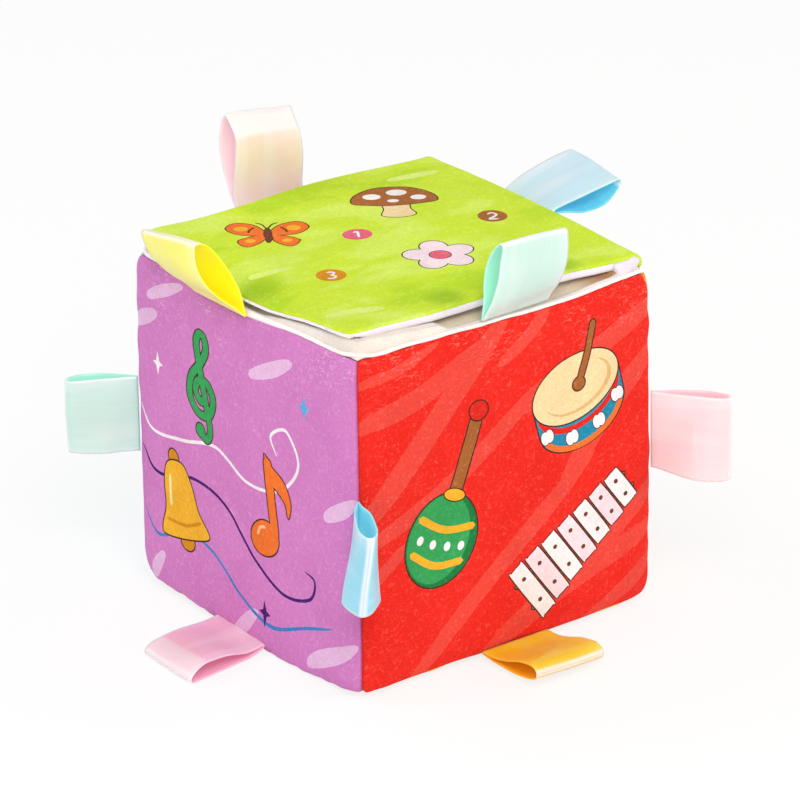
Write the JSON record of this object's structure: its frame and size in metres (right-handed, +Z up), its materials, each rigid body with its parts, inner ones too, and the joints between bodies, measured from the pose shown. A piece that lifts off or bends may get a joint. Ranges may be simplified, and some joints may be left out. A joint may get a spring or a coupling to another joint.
{
  "type": "musical activity cube",
  "caption": "Soft foam cube in plush panels, with a padded cover hinged on top, satin ribbon loops along its edges and a press-to-play sound box in its foam.",
  "frame": {"origin": "centre of the flat underside, on the floor", "axes": "+Z up to the cover, -Y to the red face, -X to the purple face, +X to the side that carries the cover's hinge"},
  "size_m": [0.1728, 0.1698, 0.1412],
  "materials": {
    "front_panel": "matte",
    "left_panel": "matte",
    "back_panel": "matte",
    "right_panel": "matte",
    "bottom_panel": "matte",
    "deck_panel": "matte",
    "deck_piping": "matte",
    "foam_core": "matte",
    "foam_lid": "matte",
    "loop_tape": "matte",
    "hook_tape": "matte",
    "cover_top": "matte",
    "cover_foam": "matte",
    "cover_lining": "matte",
    "cover_band": "matte",
    "hinge_strip": "matte",
    "ribbon_top_left": "satin",
    "ribbon_top_front": "satin",
    "ribbon_top_back": "satin",
    "ribbon_top_right": "satin",
    "ribbon_bottom_left": "satin",
    "ribbon_bottom_front": "satin",
    "ribbon_bottom_right": "satin",
    "ribbon_bottom_back": "satin",
    "ribbon_front_left": "satin",
    "ribbon_back_left": "satin",
    "ribbon_front_right": "satin",
    "ribbon_back_right": "satin",
    "case_lower": "satin",
    "case_upper": "satin",
    "case_screw_1": "satin",
    "case_screw_2": "satin",
    "case_screw_3": "satin",
    "case_screw_4": "satin",
    "speaker_basket": "satin",
    "speaker_cone": "matte",
    "speaker_magnet": "satin",
    "circuit_board": "satin",
    "chip_cover": "gloss",
    "play_button": "gloss",
    "button_spring": "satin",
    "cell_1": "satin",
    "cell_2": "satin",
    "cell_3": "satin",
    "contact_plate": "polished",
    "contact_spring": "polished",
    "battery_door": "satin",
    "door_screw": "satin",
    "speaker_lead_1": "satin",
    "speaker_lead_2": "satin",
    "battery_lead_1": "satin",
    "battery_lead_2": "satin"
  },
  "bodies": {
    "cube": {"front_panel": "front_panel", "left_panel": "left_panel", "back_panel": "back_panel", "right_panel": "right_panel", "bottom_panel": "bottom_panel", "deck_panel": "deck_panel", "deck_piping": "deck_piping", "foam_core": "foam_core", "foam_lid": "foam_lid", "loop_tape": "loop_tape", "hook_tape": "hook_tape", "hinge_strip": "hinge_strip", "case_lower": "case_lower", "case_upper": "case_upper", "case_screw_1": "case_screw_1", "case_screw_2": "case_screw_2", "case_screw_3": "case_screw_3", "case_screw_4": "case_screw_4", "speaker_basket": "speaker_basket", "speaker_cone": "speaker_cone", "speaker_magnet": "speaker_magnet", "circuit_board": "circuit_board", "chip_cover": "chip_cover", "button_spring": "button_spring", "cell_1": "cell_1", "cell_2": "cell_2", "cell_3": "cell_3", "contact_plate": "contact_plate", "contact_spring": "contact_spring", "battery_door": "battery_door", "door_screw": "door_screw", "speaker_lead_1": "speaker_lead_1", "speaker_lead_2": "speaker_lead_2", "battery_lead_1": "battery_lead_1", "battery_lead_2": "battery_lead_2"},
    "cover": {"cover_top": "cover_top", "cover_foam": "cover_foam", "cover_lining": "cover_lining", "cover_band": "cover_band"},
    "button": {"play_button": "play_button"},
    "loop_top_left": {"ribbon_top_left": "ribbon_top_left"},
    "loop_top_front": {"ribbon_top_front": "ribbon_top_front"},
    "loop_top_back": {"ribbon_top_back": "ribbon_top_back"},
    "loop_top_right": {"ribbon_top_right": "ribbon_top_right"},
    "loop_bottom_left": {"ribbon_bottom_left": "ribbon_bottom_left"},
    "loop_bottom_front": {"ribbon_bottom_front": "ribbon_bottom_front"},
    "loop_bottom_right": {"ribbon_bottom_right": "ribbon_bottom_right"},
    "loop_bottom_back": {"ribbon_bottom_back": "ribbon_bottom_back"},
    "loop_front_left": {"ribbon_front_left": "ribbon_front_left"},
    "loop_back_left": {"ribbon_back_left": "ribbon_back_left"},
    "loop_front_right": {"ribbon_front_right": "ribbon_front_right"},
    "loop_back_right": {"ribbon_back_right": "ribbon_back_right"}
  },
  "joints": [
    {"name": "cover_hinge", "type": "hinge", "parent": "cube", "child": "cover", "pos_m": [0.056, 0, 0.11304], "axis": [0, 1, 0], "range_deg": [0, 175]},
    {"name": "loop_top_left_bend", "type": "hinge", "parent": "cube", "child": "loop_top_left", "pos_m": [-0.0574, 0.0084, 0.10857], "axis": [0, -1, 0], "range_deg": [0, 76], "stiffness_Nm_per_rad": 0.003},
    {"name": "loop_top_front_bend", "type": "hinge", "parent": "cube", "child": "loop_top_front", "pos_m": [0.003, -0.056, 0.11182], "axis": [1, 0, 0], "range_deg": [0, 69], "stiffness_Nm_per_rad": 0.003},
    {"name": "loop_top_back_bend", "type": "hinge", "parent": "cube", "child": "loop_top_back", "pos_m": [-0.003, 0.056, 0.11182], "axis": [-1, 0, 0], "range_deg": [0, 72], "stiffness_Nm_per_rad": 0.003},
    {"name": "loop_top_right_bend", "type": "hinge", "parent": "cube", "child": "loop_top_right", "pos_m": [0.0565, 0.007, 0.10872], "axis": [0, 1, 0], "range_deg": [0, 32]},
    {"name": "loop_bottom_left_bend", "type": "hinge", "parent": "cube", "child": "loop_bottom_left", "pos_m": [-0.0565, 0.0025, 0.00312], "axis": [0, 1, 0], "range_deg": [0, 45], "stiffness_Nm_per_rad": 0.003},
    {"name": "loop_bottom_front_bend", "type": "hinge", "parent": "cube", "child": "loop_bottom_front", "pos_m": [0.0018, -0.0565, 0.00312], "axis": [-1, 0, 0], "range_deg": [0, 45], "stiffness_Nm_per_rad": 0.003},
    {"name": "loop_bottom_right_bend", "type": "hinge", "parent": "cube", "child": "loop_bottom_right", "pos_m": [0.0565, 0, 0.00312], "axis": [0, -1, 0], "range_deg": [0, 45], "stiffness_Nm_per_rad": 0.003},
    {"name": "loop_bottom_back_bend", "type": "hinge", "parent": "cube", "child": "loop_bottom_back", "pos_m": [0, 0.0565, 0.00312], "axis": [1, 0, 0], "range_deg": [0, 45], "stiffness_Nm_per_rad": 0.003},
    {"name": "loop_front_left_bend", "type": "hinge", "parent": "cube", "child": "loop_front_left", "pos_m": [-0.05571, -0.05571, 0.0565], "axis": [0, 0, 1], "range_deg": [-80, 80], "stiffness_Nm_per_rad": 0.003},
    {"name": "loop_back_left_bend", "type": "hinge", "parent": "cube", "child": "loop_back_left", "pos_m": [-0.05571, 0.05571, 0.0565], "axis": [0, 0, 1], "range_deg": [-80, 80], "stiffness_Nm_per_rad": 0.003},
    {"name": "loop_front_right_bend", "type": "hinge", "parent": "cube", "child": "loop_front_right", "pos_m": [0.05571, -0.05571, 0.0565], "axis": [0, 0, 1], "range_deg": [-80, 80], "stiffness_Nm_per_rad": 0.003},
    {"name": "loop_back_right_bend", "type": "hinge", "parent": "cube", "child": "loop_back_right", "pos_m": [0.05571, 0.05571, 0.0565], "axis": [0, 0, 1], "range_deg": [-80, 80], "stiffness_Nm_per_rad": 0.003},
    {"name": "button_press", "type": "slide", "parent": "cube", "child": "button", "axis": [0, 0, -1], "range_m": [0, 0.002], "stiffness_N_per_m": 300, "deforming": ["button_spring"]}
  ],
  "couplings": [
    {"joint": "loop_top_right_bend", "follows": "cover_hinge", "ratio": 0.18}
  ]
}
